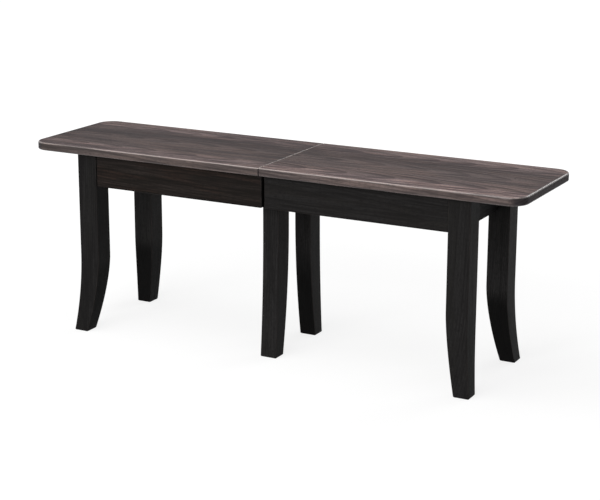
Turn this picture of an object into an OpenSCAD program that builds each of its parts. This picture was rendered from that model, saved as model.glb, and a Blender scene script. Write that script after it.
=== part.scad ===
// Extendable bench: two seat halves on sabre legs that part at the middle for leaves,
// drawn apart evenly by a geared wooden slide over a fixed pair of centre legs.
// Millimetres. X runs along the seat, -Y is the front, +Z is up, and the feet stand on z = 0.

/* [Seat] */
// Length of the closed seat
seat_length = 1219; // [1160:1:1400]
// Depth of the seat, front to back
seat_depth = 312; // [305:1:360]
// Height of the seat top above the floor
seat_height = 447; // [430:0.5:480]
// Thickness of the seat panels
panel_thickness = 18.5; // [18:0.5:24]
// Radius of the seat's outer corners, seen from above
corner_radius = 38; // [20:1:60]
// Rounding of the seat's upper edge
top_edge_radius = 3; // [2:0.5:6]
// Rounding of the seat's lower edge
bottom_edge_radius = 2.5; // [1:0.5:5]
// Gap between the two panels when the bench is closed
seam_gap = 0.8; // [0.4:0.1:2]
// Chamfer along the panels' edges at the seam
seam_chamfer = 1; // [0.5:0.1:2]

/* [Aprons] */
// Height of the aprons
apron_height = 76.2; // [70:0.1:82]
// Thickness of the aprons
apron_thickness = 19; // [17:0.5:21]
// Setback of the long aprons' outer faces from the legs' outer faces
apron_setback = 2.5; // [1:0.5:4]
// Setback of the end aprons' outer faces from the legs' outer faces
end_apron_setback = 29.5; // [22:0.5:30]
// Gap between the left and right aprons at the seam
apron_gap = 6.8; // [2:0.2:12]
// Length of the apron tenons in the legs
tenon_length = 20; // [14:1:24]
// Thickness of the apron tenons
tenon_thickness = 8; // [6:0.5:9]
// Shoulder below each tenon
tenon_shoulder = 10; // [6:1:14]
// Wood between a tenon and the hanger bolt above it
tenon_cover = 5; // [3:0.5:8]
// Gap around a tenon in its mortise
tenon_fit = 0.1; // [0.05:0.05:0.3]

/* [Corner legs] */
// Side of the square leg above its bend
leg_size = 50; // [46:1:54]
// Side of the square foot
foot_size = 36; // [30:1:42]
// Seat overhang past the legs at the front and back
side_overhang = 17; // [14:0.5:24]
// Seat overhang past the legs at the ends
end_overhang = 118; // [90:1:130]
// Outward sweep of the foot, both along and across the bench
foot_sweep = 14; // [8:1:18]
// Height at which the outer faces start to sweep out
outer_bend = 190; // [150:5:230]
// Height at which the inner faces start to sweep out
inner_bend = 180; // [150:5:230]

/* [Centre legs] */
// Width of a centre leg along the bench
centre_leg_width = 40; // [36:1:46]
// Depth of a centre leg at its top
centre_leg_depth = 50; // [44:1:52]
// Clear distance between the two centre legs at their tops
centre_leg_spread = 101; // [94:1:104]
// Depth of a centre foot
centre_foot_depth = 35; // [30:1:40]
// Outward sweep of a centre foot
centre_sweep = 13; // [8:1:16]
// Height at which a centre leg starts to sweep out
centre_bend = 300; // [240:5:330]

/* [Corner blocks and cleats] */
// Thickness of a corner block, measured across its face
block_thickness = 22; // [18:1:24]
// Height of a corner block
block_height = 38; // [34:1:44]
// Gap between a corner block and the leg's inner edge
block_gap = 5; // [3:0.5:8]
// Radius of the hanger bolts in the corner legs
hanger_radius = 4; // [3:0.5:5]
// Depth of a hanger bolt in its leg
hanger_depth = 28; // [20:1:32]
// Side of the square cleats under the panels
cleat_size = 19; // [16:1:21]
// Distance from the seam to the near end of a cleat
cleat_start = 80; // [70:1:110]

/* [Slide] */
// Travel of each half of the bench
travel = 305; // [200:5:305]
// Width of each of the three runners
runner_width = 22; // [20:0.5:24]
// Gap between neighbouring runners
runner_gap = 0.5; // [0.4:0.1:0.8]
// Height of the centre runner's top below the panels
panel_clearance = 1.5; // [1:0.1:2.5]
// Height of the centre runner
runner_height = 38; // [37:0.5:42]
// Gap between the sliding runners and the cross rails
rail_clearance = 0.4; // [0.3:0.1:1]
// Reach of a sliding runner past the seam, under the other panel
runner_reach = 345; // [340:1:350]
// Gap between a sliding runner's outer end and the end apron
runner_end_gap = 13; // [5:1:40]
// Depth of the dovetail tongues
tongue_depth = 5; // [4:0.5:6]
// Height of a tongue's middle above the slide's underside
tongue_rise = 8; // [7.5:0.5:9]
// Height of a tongue where it leaves the centre runner
tongue_root = 6; // [5:0.5:6.5]
// Height of a tongue at its edge
tongue_edge = 8; // [7:0.5:8.5]
// Clearance around a tongue in its groove
tongue_fit = 0.35; // [0.3:0.05:0.5]
// Gear module of the racks and the pinion
gear_module = 2; // [1.9:0.05:2.1]
// Height of the racks' middle above the slide's underside
rack_rise = 22; // [20:0.5:24]
// Height of the racks
rack_height = 10; // [8:0.5:11]
// Thickness of a rack behind its teeth
rack_back = 6; // [4:0.5:6.5]
// Play between the meshed teeth
backlash = 0.3; // [0.2:0.05:0.4]
// Face width of the pinion
pinion_width = 8; // [6:0.5:8]
// Radius of the pinion's axle
axle_radius = 4; // [3:0.5:5]
// Radial clearance of the pinion on its axle
axle_fit = 0.05; // [0.03:0.01:0.08]
// Radius of the slide's stop pins
stop_radius = 2.2; // [1.8:0.1:2.4]

/* [Cross rails] */
// Thickness of the cross rails that clasp the centre legs
rail_thickness = 18; // [16:1:22]
// Height of the cross rails
rail_height = 30; // [28:1:31]
// Radius of the bolts through the rails and the centre legs
cradle_radius = 3; // [2.5:0.5:4]
// Distance between the two bolts through a centre leg
cradle_spacing = 22; // [18:1:26]

/* [Table pins and latches] */
// Radius of the pins that line the panels up
pin_radius = 4; // [3:0.5:5]
// Radial clearance of the pins in the right panel
pin_fit = 0.1; // [0.05:0.01:0.1]
// Length of a pin beyond the left panel's edge
pin_reach = 12; // [8:1:16]
// Depth of a pin in the left panel
pin_hold = 20; // [15:1:30]
// Distance of the pins from the middle of the seat
pin_y = 72; // [50:1:78]
// Gap between an open latch lever and the slide
latch_gap = 6; // [3:0.5:8]
// Distance from the seam to a latch lever's pivot
pivot_setback = 26; // [24:1:28]
// Distance from the seam to the keeper's stud
keeper_setback = 18; // [17:1:20]
// Width of the latch levers and plates
latch_width = 16; // [15:0.5:18]
// Thickness of the latch sheet metal
latch_sheet = 2; // [1.5:0.1:2.2]
// Radius of the keeper studs
stud_radius = 3; // [2.5:0.1:3.2]
// Radius of the pivot rivets
rivet_radius = 2.5; // [2:0.1:3]
// Play around the latch parts
latch_play = 0.4; // [0.3:0.05:0.5]

/* [Wood screws] */
// Shank radius of the wood screws
screw_radius = 2.2; // [1.8:0.1:2.4]
// Depth of the wood screws in the panels
screw_bite = 12; // [10:1:14]
// Radial gap around a screw or a bolt in its hole
hole_fit = 0.05; // [0.03:0.01:0.1]

/* [Hidden] */
$fn = 64;
through = 1;
half_length = seat_length / 2;
half_depth = seat_depth / 2;
under_seat = seat_height - panel_thickness;
panel_middle = seat_height - panel_thickness / 2;
seam = seam_gap / 2;

leg_x = half_length - end_overhang;
leg_y = half_depth - side_overhang;
leg_inner_x = leg_x - leg_size;
leg_inner_y = leg_y - leg_size;
apron_bottom = under_seat - apron_height;
apron_y = leg_y - apron_setback;
apron_inner_y = apron_y - apron_thickness;
end_apron_x = leg_x - end_apron_setback;
end_apron_inner_x = end_apron_x - apron_thickness;
apron_start = apron_gap / 2;

hanger_z = under_seat - block_height / 2;
tenon_bottom = apron_bottom + tenon_shoulder;
tenon_top = hanger_z - hanger_radius - tenon_cover;
tenon_height = tenon_top - tenon_bottom;
tenon_z = (tenon_top + tenon_bottom) / 2;
block_near = block_gap;
block_far = block_gap + block_thickness;
block_screw_places = [24, 42];
hanger_clearance = 0.6;
washer_thickness = 1.8;
washer_ratio = 2.3;
nut_ratio = 1.875;
nut_height = 6.5;
cleat_end = block_end_x(block_far) - 14;
cleat_y = apron_inner_y - cleat_size / 2;
cleat_screw_margin = 30;

pinion_teeth = 14;
pressure_angle = 25;
pitch = PI * gear_module;
pitch_radius = gear_module * pinion_teeth / 2;
base_radius = pitch_radius * cos(pressure_angle);
addendum = gear_module;
dedendum = 1.25 * gear_module;
tip_radius = pitch_radius + addendum;
root_radius = pitch_radius - dedendum;
rack_root_y = pitch_radius + dedendum;
rack_back_y = rack_root_y + rack_back;
rack_lead = 3;
rack_teeth = rack_lead + ceil((travel + tip_radius) / pitch);
rack_end = rack_lead * pitch;
rack_start = rack_end - rack_teeth * pitch;
rack_end_play = 0.3;

runner_top = under_seat - panel_clearance;
slide_bottom = runner_top - runner_height;
sliding_bottom = slide_bottom + rail_clearance;
centre_face = runner_width / 2;
sliding_face = centre_face + runner_gap;
sliding_back = sliding_face + runner_width;
runner_hold = end_apron_inner_x - runner_end_gap;
runner_screws_each = 4;
runner_screw_start = 60;
runner_screw_step = (runner_hold - runner_screw_start - 40) / (runner_screws_each - 1);
tongue_z = slide_bottom + tongue_rise;
rack_z = slide_bottom + rack_rise;
rack_bottom = rack_z - rack_height / 2;
mortise_half = tip_radius + 2.5;
mortise_height = pinion_width + 0.8;
axle_bottom = slide_bottom + 4;
stop_x = 20;
stop_z = rack_z + rack_height / 2 + 5;
stop_hold = 7;
stop_reach = 4;
stop_start_play = 1;
stop_end_play = 0.5;
stop_slot_play = 0.3;

rail_x = centre_leg_width / 2;
rail_outer_x = rail_x + rail_thickness;
rail_bottom = slide_bottom - rail_height;
centre_leg_inner = centre_leg_spread / 2;
centre_leg_outer = centre_leg_inner + centre_leg_depth;
rail_half = centre_leg_outer - 2;
rail_screw_x = rail_x + rail_thickness / 2;
cradle_z = rail_bottom + rail_height / 2;
cradle_nut_height = 5;
cradle_head_height = 3.5;

lever_length = pivot_setback + keeper_setback;
lever_tip = lever_length + stud_radius + 6;
latch_y = sliding_back + latch_gap + lever_tip;
plate_bottom = under_seat - latch_sheet;
lever_top = plate_bottom - latch_play / 2;
lever_bottom = lever_top - latch_sheet;
head_top = lever_bottom - latch_play / 2;
head_height = 2;
finger_tab = 10;
plate_end_margin = 20;
plate_screw_radius = 1.6;
plate_screw_bite = 11;
plate_screw_step = 15;

counterbore = 8;
screw_web_y = (rack_back_y + sliding_back) / 2;
block_screw_length = block_height - counterbore + screw_bite;
cleat_screw_length = cleat_size + screw_bite;
runner_screw_length = under_seat - sliding_bottom - counterbore + screw_bite;
rail_screw_bite = 24;
rail_screw_length = rail_height - counterbore + rail_screw_bite;
plate_screw_length = latch_sheet + plate_screw_bite;

seat_color = "#5f5350";
base_color = "#242120";
block_color = "#c9a878";
slide_color = "#d8bc8c";
steel_color = "#a9adb1";
brass_color = "#b08d4f";
nylon_color = "#e6e2d6";

// Where a corner block's face at the given distance from the leg's edge meets the long apron.
function block_end_x(distance) =
    leg_inner_x - (apron_inner_y - leg_inner_y) - distance * sqrt(2);
// Where the same face meets the end apron, as a distance from the middle of the seat.
function block_end_y(distance) =
    leg_inner_y - (end_apron_inner_x - leg_inner_x) - distance * sqrt(2);

// Offset of a face that leaves the vertical tangentially at height bend and is out by reach at the floor.
function sweep(z, bend, reach) = z < bend ? reach * pow((bend - z) / bend, 2) : 0;
// The same for an inner face, whose lower half runs nearly straight.
function taper(z, bend, reach) = z < bend ? reach * pow((bend - z) / bend, 1.6) : 0;
function bend_heights(bend, steps) = [for (i = [0 : steps]) bend * i / steps];
function involute_angle(radius) =
    let (turn = acos(min(1, base_radius / radius))) tan(turn) * 180 / PI - turn;

// Mirrors the right half's pieces to the left for side = -1.
module on_side(side) {
    mirror([side < 0 ? 1 : 0, 0, 0]) children();
}

// Mirrors the front piece to the back for end = 1.
module to_back(end) {
    mirror([0, end > 0 ? 1 : 0, 0]) children();
}

module front_and_back() {
    for (end = [-1, 1]) to_back(end) children();
}

// A countersunk wood screw, point up, with its head's face at z = 0.
module wood_screw(radius, length) {
    difference() {
        union() {
            cylinder(h = length - radius, r = radius);
            cylinder(h = radius, r1 = 2 * radius, r2 = radius);
            translate([0, 0, length - radius]) cylinder(h = radius, r1 = radius, r2 = radius / 4);
        }
        cube([0.8 * radius, 0.8 * radius, 1.6 * radius], center = true);
    }
}

// The hole for that screw: a shank hole, a countersink and a counterbore below it.
module screw_hole(radius, length, bore) {
    cylinder(h = length + hole_fit, r = radius + hole_fit);
    cylinder(h = radius, r1 = 2 * radius + hole_fit, r2 = radius + hole_fit);
    translate([0, 0, -bore - through])
        cylinder(h = bore + through, r = 2 * radius + hole_fit);
}

// Places of the screws that reach up into a panel, for the right half and its front side.
module at_block_screws() {
    for (along = block_screw_places)
        translate([leg_inner_x, -leg_inner_y, 0]) rotate([0, 0, 135])
            translate([block_gap + block_thickness / 2, along, under_seat - block_height + counterbore])
                children();
}

module at_cleat_screws() {
    first = cleat_start + cleat_screw_margin;
    last = cleat_end - cleat_screw_margin;
    for (x = [first, (first + last) / 2, last])
        translate([x, -cleat_y, under_seat - cleat_size]) children();
}

module at_runner_screws() {
    for (i = [0 : runner_screws_each - 1])
        translate([runner_screw_start + i * runner_screw_step, screw_web_y, sliding_bottom + counterbore])
            children();
}

module at_latch_screws() {
    for (x = [-plate_screw_step, plate_screw_step])
        translate([pivot_setback + x, -latch_y, plate_bottom]) children();
}

module at_keeper_screws() {
    for (x = [plate_screw_step, 2 * plate_screw_step - 4])
        translate([keeper_setback + x, -latch_y, plate_bottom]) children();
}

// Section of a panel's edge, reach wide, with its outer corners rounded.
module edge_section(reach) {
    difference() {
        square([reach, panel_thickness]);
        translate([reach - top_edge_radius, panel_thickness - top_edge_radius])
            difference() {
                square(top_edge_radius + through);
                circle(top_edge_radius);
            }
        translate([reach - bottom_edge_radius, bottom_edge_radius])
            difference() {
                translate([0, -bottom_edge_radius - through])
                    square(bottom_edge_radius + through);
                circle(bottom_edge_radius);
            }
    }
}

// One half of the seat without its holes, on the right.
module panel_blank() {
    straight_x = half_length - corner_radius;
    straight_y = half_depth - corner_radius;
    translate([0, 0, under_seat]) {
        for (turn = [0, 180])
            translate([turn == 0 ? seam : straight_x, 0, 0])
                rotate([90, 0, 90 + turn]) linear_extrude(straight_x - seam)
                    edge_section(half_depth);
        translate([straight_x, straight_y, 0])
            rotate([90, 0, 0]) linear_extrude(2 * straight_y) edge_section(corner_radius);
        translate([straight_x, straight_y, 0])
            rotate_extrude(angle = 90) edge_section(corner_radius);
        translate([straight_x, -straight_y, 0])
            rotate([0, 0, -90]) rotate_extrude(angle = 90) edge_section(corner_radius);
    }
}

module seat_panel(side) {
    color(seat_color) on_side(side) difference() {
        panel_blank();
        for (z = [under_seat, seat_height])
            translate([seam, 0, z]) rotate([0, 45, 0])
                cube([seam_chamfer * sqrt(2), seat_depth + through, seam_chamfer * sqrt(2)], center = true);
        front_and_back() {
            at_block_screws() screw_hole(screw_radius, block_screw_length, 0);
            at_cleat_screws() screw_hole(screw_radius, cleat_screw_length, 0);
        }
        to_back(side < 0 ? 1 : 0) at_runner_screws() screw_hole(screw_radius, runner_screw_length, 0);
        if (side < 0) {
            front_and_back() at_latch_screws() screw_hole(plate_screw_radius, plate_screw_length, 0);
            for (y = [-pin_y, pin_y])
                translate([seam - through, y, panel_middle]) rotate([0, 90, 0])
                    cylinder(h = pin_hold + through, r = pin_radius + hole_fit);
        } else {
            front_and_back() at_keeper_screws() screw_hole(plate_screw_radius, plate_screw_length, 0);
            for (y = [-pin_y, pin_y])
                translate([seam - through, y, panel_middle]) rotate([0, 90, 0])
                    cylinder(h = pin_reach + 2 + through, r = pin_radius + pin_fit);
        }
    }
}

// A tenon or, with some play, its mortise: it starts at the origin and runs along +X.
module tenon(play) {
    translate([-play, -tenon_thickness / 2 - play, -tenon_height / 2 - play])
        cube([tenon_length + 2 * play, tenon_thickness + 2 * play, tenon_height + 2 * play]);
}

module at_long_tenon() {
    translate([leg_inner_x, -apron_y + apron_thickness / 2, tenon_z])
        children();
}

module at_end_tenon() {
    translate([end_apron_x - apron_thickness / 2, -leg_inner_y, tenon_z])
        rotate([0, 0, -90]) children();
}

// Front apron of the right half, whose back one is its mirror image.
module long_apron(side, end) {
    color(base_color) on_side(side) to_back(end) union() {
        translate([apron_start, -apron_y, apron_bottom])
            cube([leg_inner_x - apron_start, apron_thickness, apron_height]);
        at_long_tenon() tenon(0);
    }
}

// The end apron has a scallop at each end of its inner face, where the hanger bolt passes.
module end_apron(side) {
    color(base_color) on_side(side) difference() {
        union() {
            translate([end_apron_inner_x, -leg_inner_y, apron_bottom])
                cube([apron_thickness, 2 * leg_inner_y, apron_height]);
            front_and_back() at_end_tenon() tenon(0);
        }
        front_and_back() at_hanger() hanger_hole();
    }
}

// Side view of a corner leg in (distance from the bench's middle, height), outer face at outer.
module leg_side(outer) {
    foot_taper = leg_size - foot_size + foot_sweep;
    outer_edge = [for (z = bend_heights(outer_bend, 14)) [outer + sweep(z, outer_bend, foot_sweep), z]];
    inner_edge = [for (z = bend_heights(inner_bend, 14))
        [outer - leg_size + taper(z, inner_bend, foot_taper), z]];
    last = len(inner_edge) - 1;
    polygon(concat(
        outer_edge,
        [[outer, under_seat], [outer - leg_size, under_seat]],
        [for (i = [0 : last]) inner_edge[last - i]]
    ));
}

module corner_leg(side, end) {
    room = leg_size + 2 * foot_sweep;
    color(base_color) on_side(side) to_back(end) difference() {
        intersection() {
            translate([0, -leg_y + room, 0]) rotate([90, 0, 0])
                linear_extrude(2 * room) leg_side(leg_x);
            translate([leg_x - room, 0, 0]) rotate([90, 0, 90])
                linear_extrude(2 * room) mirror([1, 0]) leg_side(leg_y);
        }
        at_long_tenon() tenon(tenon_fit);
        at_end_tenon() tenon(tenon_fit);
        at_hanger() rotate([0, -90, 0]) cylinder(h = hanger_depth + 1, r = hanger_radius + hole_fit);
    }
}

// The hanger bolt's line: the origin is the leg's inner edge and +X points away from the leg.
module at_hanger() {
    translate([leg_inner_x, -leg_inner_y, hanger_z]) rotate([0, 0, 135]) children();
}

// The loose hole for the hanger bolt outside the leg.
module hanger_hole() {
    translate([-block_far, 0, 0]) rotate([0, 90, 0])
        cylinder(h = 2 * block_far + through, r = hanger_radius + hanger_clearance);
}

module corner_blocks(side) {
    color(block_color) on_side(side) front_and_back() difference() {
        translate([0, 0, under_seat - block_height]) linear_extrude(block_height) polygon([
            [block_end_x(block_near), -apron_inner_y],
            [block_end_x(block_far), -apron_inner_y],
            [end_apron_inner_x, -block_end_y(block_far)],
            [end_apron_inner_x, -block_end_y(block_near)]
        ]);
        at_hanger() hanger_hole();
        at_block_screws() screw_hole(screw_radius, block_screw_length, counterbore);
    }
}

module hanger_bolts(side) {
    length = hanger_depth + block_far + washer_thickness + nut_height + 5;
    color(steel_color) on_side(side) front_and_back() at_hanger()
        translate([-hanger_depth, 0, 0]) rotate([0, 90, 0]) {
            cylinder(h = 6, r1 = hanger_radius / 3, r2 = hanger_radius);
            translate([0, 0, 6]) cylinder(h = length - 7, r = hanger_radius);
            translate([0, 0, length - 1]) cylinder(h = 1, r1 = hanger_radius, r2 = hanger_radius - 1);
        }
}

module washer(radius) {
    difference() {
        cylinder(h = washer_thickness, r = washer_ratio * radius);
        translate([0, 0, -through])
            cylinder(h = washer_thickness + 2 * through, r = radius + hole_fit);
    }
}

module hex_nut(radius, height) {
    difference() {
        cylinder(h = height, r = nut_ratio * radius, $fn = 6);
        translate([0, 0, -through]) cylinder(h = height + 2 * through, r = radius + hole_fit);
    }
}

module hanger_washers(side) {
    color(steel_color) on_side(side) front_and_back() at_hanger()
        translate([block_far, 0, 0]) rotate([0, 90, 0]) washer(hanger_radius);
}

module hanger_nuts(side) {
    color(steel_color) on_side(side) front_and_back() at_hanger()
        translate([block_far + washer_thickness, 0, 0]) rotate([0, 90, 0])
            hex_nut(hanger_radius, nut_height);
}

module block_screws(side) {
    color(brass_color) on_side(side) front_and_back() at_block_screws()
        wood_screw(screw_radius, block_screw_length);
}

module cleats(side) {
    color(block_color) on_side(side) front_and_back() difference() {
        translate([cleat_start, -apron_inner_y, under_seat - cleat_size])
            cube([cleat_end - cleat_start, cleat_size, cleat_size]);
        at_cleat_screws() screw_hole(screw_radius, cleat_screw_length, 0);
    }
}

module cleat_screws(side) {
    color(brass_color) on_side(side) front_and_back() at_cleat_screws()
        wood_screw(screw_radius, cleat_screw_length);
}

// Section of a dovetail tongue that leaves the centre runner's face towards +Y.
module tongue_section(play) {
    root = tongue_root / 2 + play;
    edge = tongue_edge / 2 + play;
    polygon([
        [centre_face, -root], [centre_face + tongue_depth + play, -edge],
        [centre_face + tongue_depth + play, edge], [centre_face, root]
    ]);
}

// The right half's slide runner at the back of the slide. The left one is this turned half round.
module slide_runner() {
    slot_near = stop_x - stop_radius - stop_start_play;
    slot_far = stop_x + travel + stop_radius + stop_end_play;
    slot_half = stop_radius + stop_slot_play;
    difference() {
        union() {
            translate([-runner_reach, sliding_face, sliding_bottom])
                cube([runner_reach + runner_hold, runner_width, runner_top - sliding_bottom]);
            translate([5, sliding_face, runner_top])
                cube([runner_hold - 5, runner_width, panel_clearance]);
        }
        translate([-runner_reach - through, 0, tongue_z]) rotate([90, 0, 90])
            linear_extrude(runner_reach + runner_hold + 2 * through) tongue_section(tongue_fit);
        translate([rack_start - rack_end_play, 0, rack_bottom])
            cube([rack_teeth * pitch + 2 * rack_end_play, rack_back_y, rack_height]);
        translate([-slot_far, 0, stop_z - slot_half])
            cube([slot_far - slot_near, centre_face + stop_reach + 1, 2 * slot_half]);
        at_runner_screws() screw_hole(screw_radius, runner_screw_length, counterbore);
    }
}

module turned_to(side) {
    rotate([0, 0, side < 0 ? 180 : 0]) children();
}

module runner_screws(side) {
    color(brass_color) turned_to(side) at_runner_screws()
        wood_screw(screw_radius, runner_screw_length);
}

// The right half's rack, with a tooth space over the pinion's middle when the bench is closed.
module rack() {
    half_tooth = pitch / 4 - backlash / 4;
    slope = tan(pressure_angle);
    root_half = half_tooth + dedendum * slope;
    tip_half = half_tooth - addendum * slope;
    rack_tip_y = pitch_radius - addendum;
    teeth = [for (i = [0 : rack_teeth - 1]) let (x = rack_start + (i + 0.5) * pitch) each [
        [x - root_half, rack_root_y], [x - tip_half, rack_tip_y],
        [x + tip_half, rack_tip_y], [x + root_half, rack_root_y]
    ]];
    translate([0, 0, rack_bottom]) linear_extrude(rack_height) polygon(concat(
        [[rack_start, rack_root_y]], teeth,
        [[rack_end, rack_root_y], [rack_end, rack_back_y], [rack_start, rack_back_y]]
    ));
}

// Outline of the pinion, with one tooth towards -Y and one towards +Y.
module pinion_outline() {
    steps = 6;
    half_angle = 90 / pinion_teeth + involute_angle(pitch_radius) - backlash / 4 / pitch_radius * 180 / PI;
    flank = [for (i = [0 : steps]) let (r = base_radius + (tip_radius - base_radius) * i / steps)
        [r, half_angle - involute_angle(r)]];
    tooth = concat(
        [[root_radius, -half_angle]],
        [for (i = [0 : steps]) [flank[i][0], -flank[i][1]]],
        [for (i = [0 : steps]) flank[steps - i]],
        [[root_radius, half_angle]]
    );
    polygon([for (i = [0 : pinion_teeth - 1]) for (p = tooth)
        let (a = 90 + i * 360 / pinion_teeth + p[1]) [p[0] * cos(a), p[0] * sin(a)]]);
}

module pinion() {
    color(nylon_color) translate([0, 0, rack_z - pinion_width / 2]) difference() {
        linear_extrude(pinion_width) pinion_outline();
        translate([0, 0, -through])
            cylinder(h = pinion_width + 2 * through, r = axle_radius + axle_fit);
    }
}

module pinion_axle() {
    color(steel_color) translate([0, 0, axle_bottom])
        cylinder(h = runner_top - axle_bottom - 1, r = axle_radius);
}

module centre_runner() {
    color(slide_color) difference() {
        union() {
            translate([-runner_reach, -centre_face, slide_bottom])
                cube([2 * runner_reach, runner_width, runner_height]);
            for (turn = [0, 180])
                rotate([0, 0, turn]) translate([-runner_reach, 0, tongue_z]) rotate([90, 0, 90])
                    linear_extrude(2 * runner_reach) tongue_section(0);
        }
        translate([0, 0, rack_z])
            cube([2 * mortise_half, runner_width + 2 * through, mortise_height], center = true);
        translate([0, 0, axle_bottom])
            cylinder(h = runner_height, r = axle_radius + hole_fit);
        for (side = [-1, 1]) {
            translate([side * rail_screw_x, 0, rail_bottom + counterbore])
                screw_hole(screw_radius, rail_screw_length, 0);
            rotate([0, 0, side < 0 ? 0 : 180])
                translate([-stop_x, centre_face - stop_hold, stop_z]) rotate([-90, 0, 0])
                    cylinder(h = stop_hold + through, r = stop_radius + hole_fit);
        }
    }
}

module stop_pins() {
    color(steel_color) for (turn = [0, 180])
        rotate([0, 0, turn]) translate([-stop_x, centre_face - stop_hold, stop_z]) rotate([-90, 0, 0])
            cylinder(h = stop_hold + stop_reach, r = stop_radius);
}

module cross_rail(side) {
    color(block_color) on_side(side) difference() {
        translate([rail_x, -rail_half, rail_bottom])
            cube([rail_thickness, 2 * rail_half, rail_height]);
        at_cradle_bolts() translate([0, 0, rail_x - through])
            cylinder(h = rail_thickness + 2 * through, r = cradle_radius + hole_fit);
        translate([rail_screw_x, 0, rail_bottom + counterbore])
            screw_hole(screw_radius, rail_screw_length, counterbore);
    }
}

module centre_runner_screws() {
    color(brass_color) for (side = [-1, 1])
        translate([side * rail_screw_x, 0, rail_bottom + counterbore])
            wood_screw(screw_radius, rail_screw_length);
}

// The lines of the four bolts through the centre legs, with local +Z along the bench.
module at_cradle_bolts() {
    middle = (centre_leg_inner + centre_leg_outer) / 2;
    for (end = [-1, 1]) for (step = [-1, 1])
        translate([0, end * (middle + step * cradle_spacing / 2), cradle_z]) rotate([0, 90, 0])
            children();
}

module centre_leg(end) {
    foot_taper = centre_leg_depth - centre_foot_depth + centre_sweep;
    heights = bend_heights(centre_bend, 16);
    outer_edge = [for (z = heights) [centre_leg_outer + sweep(z, centre_bend, centre_sweep), z]];
    inner_edge = [for (z = heights) [centre_leg_inner + sweep(z, centre_bend, foot_taper), z]];
    last = len(heights) - 1;
    color(base_color) to_back(end) difference() {
        translate([-centre_leg_width / 2, 0, 0]) rotate([90, 0, 90]) linear_extrude(centre_leg_width)
            mirror([1, 0]) polygon(concat(
                outer_edge,
                [[centre_leg_outer, slide_bottom], [centre_leg_inner, slide_bottom]],
                [for (i = [0 : last]) inner_edge[last - i]]
            ));
        at_cradle_bolts() translate([0, 0, -rail_x - through])
            cylinder(h = centre_leg_width + 2 * through, r = cradle_radius + hole_fit);
    }
}

module cradle_bolts() {
    tail = washer_thickness + cradle_nut_height + 3;
    color(steel_color) at_cradle_bolts() {
        translate([0, 0, -rail_outer_x - tail]) cylinder(h = 2 * rail_outer_x + tail, r = cradle_radius);
        translate([0, 0, rail_outer_x])
            cylinder(h = cradle_head_height, r1 = 2.4 * cradle_radius, r2 = 1.5 * cradle_radius);
    }
}

module cradle_washers() {
    color(steel_color) at_cradle_bolts() translate([0, 0, -rail_outer_x - washer_thickness])
        washer(cradle_radius);
}

module cradle_nuts() {
    color(steel_color) at_cradle_bolts()
        translate([0, 0, -rail_outer_x - washer_thickness - cradle_nut_height])
            hex_nut(cradle_radius, cradle_nut_height);
}

module table_pins() {
    color(brass_color) for (y = [-pin_y, pin_y])
        translate([-seam - pin_hold, y, panel_middle]) rotate([0, 90, 0]) {
            cylinder(h = pin_hold + seam_gap + pin_reach - 1, r = pin_radius);
            translate([0, 0, pin_hold + seam_gap + pin_reach - 1])
                cylinder(h = 1, r1 = pin_radius, r2 = pin_radius - 1);
        }
}

// A sheet plate under a panel from x = start to x = end, with a headed stud at stud_x.
module plate_with_stud(start, end, stud_x, radius) {
    translate([start, -latch_y - latch_width / 2, plate_bottom])
        cube([end - start, latch_width, latch_sheet]);
    translate([stud_x, -latch_y, head_top - head_height])
        cylinder(h = plate_bottom - head_top + head_height, r = radius);
    translate([stud_x, -latch_y, head_top - head_height])
        cylinder(h = head_height, r = radius + 2.5);
}

module latch_plates() {
    color(steel_color) on_side(-1) front_and_back() difference() {
        plate_with_stud(pivot_setback - plate_end_margin, pivot_setback + plate_end_margin,
            pivot_setback, rivet_radius);
        at_latch_screws() screw_hole(plate_screw_radius, plate_screw_length, 0);
    }
}

module latch_plate_screws() {
    color(brass_color) on_side(-1) front_and_back() at_latch_screws()
        wood_screw(plate_screw_radius, plate_screw_length);
}

module latch_keepers() {
    color(steel_color) front_and_back() difference() {
        plate_with_stud(keeper_setback - 12, keeper_setback + 2 * plate_screw_step + 2,
            keeper_setback, stud_radius);
        at_keeper_screws() screw_hole(plate_screw_radius, plate_screw_length, 0);
    }
}

module latch_keeper_screws() {
    color(brass_color) front_and_back() at_keeper_screws()
        wood_screw(plate_screw_radius, plate_screw_length);
}

// Front lever, drawn along +X as when it is shut and then turned back to where it rests, open.
module latch_lever(end) {
    slot_half = stud_radius + latch_play;
    slot_angle = 30;
    color(steel_color) to_back(end) translate([-pivot_setback, -latch_y, lever_bottom])
        rotate([0, 0, 90]) difference() {
            union() {
                cylinder(h = latch_sheet, r = latch_width / 2);
                translate([0, -latch_width / 2, 0]) cube([lever_tip, latch_width, latch_sheet]);
                translate([lever_tip - latch_sheet, -latch_width / 2, -finger_tab])
                    cube([latch_sheet, latch_width, finger_tab]);
            }
            translate([0, 0, -through])
                cylinder(h = latch_sheet + 2 * through, r = rivet_radius + axle_fit);
            translate([lever_length, 0, -through])
                cylinder(h = latch_sheet + 2 * through, r = slot_half);
            rotate([0, 0, -slot_angle]) rotate_extrude(angle = slot_angle)
                translate([lever_length - slot_half, -through])
                    square([2 * slot_half, latch_sheet + 2 * through]);
        }
}

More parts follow.
